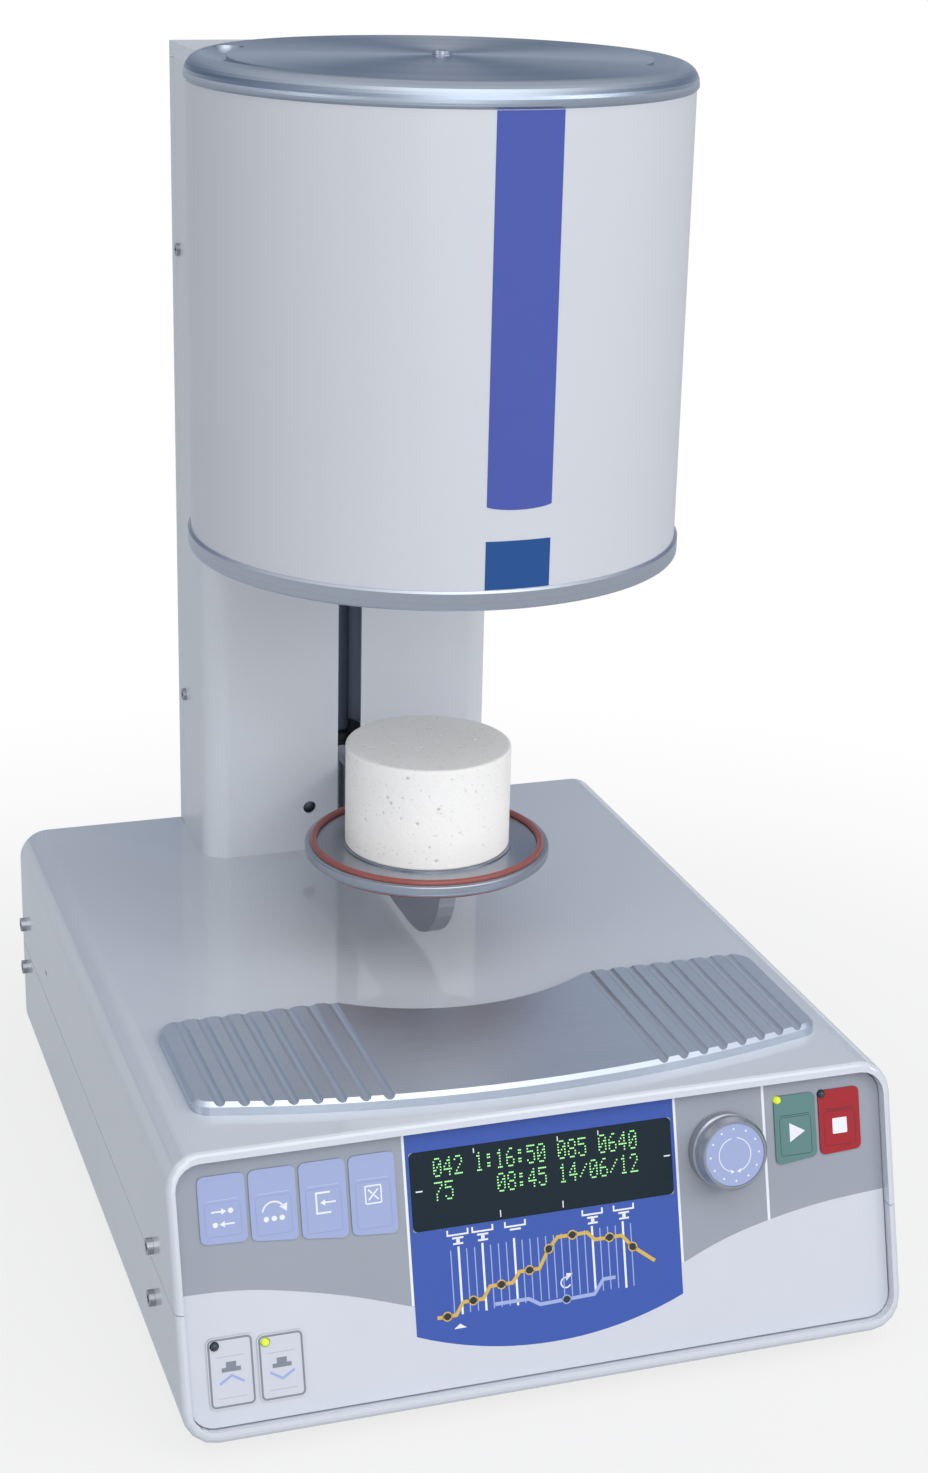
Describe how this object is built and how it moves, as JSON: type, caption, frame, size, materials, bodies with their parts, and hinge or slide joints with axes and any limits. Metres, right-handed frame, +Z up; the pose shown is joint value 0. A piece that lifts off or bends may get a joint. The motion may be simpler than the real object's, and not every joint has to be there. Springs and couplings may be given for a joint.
{
  "type": "dental lab furnace",
  "caption": "Dental lab porcelain furnace: sloping-front base with keypad, display and knob, rear column, round firing head and a screw-driven lift with firing pedestal",
  "frame": {"origin": "centre of the footprint on the surface the feet stand on", "axes": "+X to the right seen from the front, +Y from the keypad front towards the column, +Z up"},
  "size_m": [0.2944, 0.3529, 0.4849],
  "materials": {
    "painted_light": "satin powder coat",
    "aluminium": "satin, turned or milled",
    "steel": "bright",
    "brass": "turned",
    "rubber_dark": "matte",
    "silicone_red": "satin silicone",
    "ceramic_white": "unglazed, finely porous",
    "fibre": "vacuum formed ceramic fibre",
    "heating_wire": "oxidised",
    "foil": "fine satin film",
    "key_blue": "satin film",
    "key_green": "satin film",
    "key_red": "satin film",
    "key_white": "satin film",
    "lamp_lit": "lit lens",
    "lamp_dark": "unlit lens",
    "window_dark": "smoked filter",
    "black_plastic": "moulded",
    "circuit_board": "solder mask",
    "winding": "wound tape",
    "motor_dark": "semi gloss"
  },
  "bodies": {
    "base": {"base_cover": "painted_light", "base_tray": "painted_light", "case_screws": "steel", "rubber_feet": "rubber_dark", "rear_panel": "painted_light", "front_panel": "aluminium", "front_foil": "foil", "lit_lamps": "lamp_lit", "dark_lamps": "lamp_dark", "display_window": "window_dark", "display_module": "black_plastic", "keypad_boards": "circuit_board", "encoder_body": "black_plastic", "transformer": "winding", "power_board": "circuit_board", "power_inlet": "black_plastic", "inlet_pins": "steel", "fuse_caps": "black_plastic", "switch_frame": "black_plastic", "pump_outlet": "black_plastic", "vacuum_nipple": "brass", "cooling_tray": "aluminium", "column_shell": "painted_light", "column_rear_cover": "painted_light", "column_cap": "painted_light", "column_screws": "steel", "column_frame": "steel", "bearing_blocks": "aluminium", "guide_rods": "steel", "lift_motor": "motor_dark", "head_bracket": "aluminium", "lower_flange": "aluminium", "head_jacket": "painted_light", "top_cap": "aluminium", "cap_screw": "steel", "vacuum_can": "steel", "fibre_lining": "fibre", "ceramic_muffle": "ceramic_white", "heating_coil": "heating_wire", "thermocouple": "steel"},
    "lift": {"carriage": "aluminium", "lead_nut": "brass", "lift_arm": "aluminium", "platform": "aluminium", "seal_rings": "silicone_red"},
    "screw": {"lead_screw": "steel"},
    "tray_pedestal": {"pedestal": "ceramic_white"},
    "knob": {"encoder_shaft": "steel", "encoder_knob": "aluminium", "knob_insert": "key_blue"},
    "rocker": {"power_rocker": "black_plastic"},
    "program_key_body": {"program_key": "key_blue"},
    "skip_key_body": {"skip_key": "key_blue"},
    "enter_key_body": {"enter_key": "key_blue"},
    "escape_key_body": {"escape_key": "key_blue"},
    "run_key_body": {"run_key": "key_green"},
    "stop_key_body": {"stop_key": "key_red"},
    "lift_up_key_body": {"lift_up_key": "key_white"},
    "lift_down_key_body": {"lift_down_key": "key_white"}
  },
  "joints": [
    {"name": "lift_slide", "type": "slide", "parent": "base", "child": "lift", "axis": [0, 0, 1], "range_m": [-0.004, 0.128]},
    {"name": "screw_spin", "type": "hinge", "parent": "base", "child": "screw", "pos_m": [0, 0.1442, 0.1125], "axis": [0, 0, 1], "continuous": true},
    {"name": "pedestal_lift_off", "type": "slide", "parent": "lift", "child": "tray_pedestal", "axis": [0, 0, 1], "range_m": [0, 0.02]},
    {"name": "knob_turn", "type": "hinge", "parent": "base", "child": "knob", "pos_m": [0.0738, -0.1559, 0.08691], "axis": [0, -0.9613, 0.2756], "continuous": true},
    {"name": "rocker_tilt", "type": "hinge", "parent": "base", "child": "rocker", "pos_m": [-0.057, 0.1625, 0.054], "axis": [1, 0, 0], "range_deg": [0, 16]},
    {"name": "program_key_press", "type": "slide", "parent": "base", "child": "program_key_body", "axis": [0, 0.9613, -0.2756], "range_m": [0, 0.0004], "stiffness_N_per_m": 600},
    {"name": "skip_key_press", "type": "slide", "parent": "base", "child": "skip_key_body", "axis": [0, 0.9613, -0.2756], "range_m": [0, 0.0004], "stiffness_N_per_m": 600},
    {"name": "enter_key_press", "type": "slide", "parent": "base", "child": "enter_key_body", "axis": [0, 0.9613, -0.2756], "range_m": [0, 0.0004], "stiffness_N_per_m": 600},
    {"name": "escape_key_press", "type": "slide", "parent": "base", "child": "escape_key_body", "axis": [0, 0.9613, -0.2756], "range_m": [0, 0.0004], "stiffness_N_per_m": 600},
    {"name": "run_key_press", "type": "slide", "parent": "base", "child": "run_key_body", "axis": [0, 0.9613, -0.2756], "range_m": [0, 0.0004], "stiffness_N_per_m": 600},
    {"name": "stop_key_press", "type": "slide", "parent": "base", "child": "stop_key_body", "axis": [0, 0.9613, -0.2756], "range_m": [0, 0.0004], "stiffness_N_per_m": 600},
    {"name": "lift_up_key_press", "type": "slide", "parent": "base", "child": "lift_up_key_body", "axis": [0, 0.9613, -0.2756], "range_m": [0, 0.0004], "stiffness_N_per_m": 600},
    {"name": "lift_down_key_press", "type": "slide", "parent": "base", "child": "lift_down_key_body", "axis": [0, 0.9613, -0.2756], "range_m": [0, 0.0004], "stiffness_N_per_m": 600}
  ],
  "couplings": [
    {"joint": "screw_spin", "follows": "lift_slide", "rad_per_m": 1047.2}
  ]
}
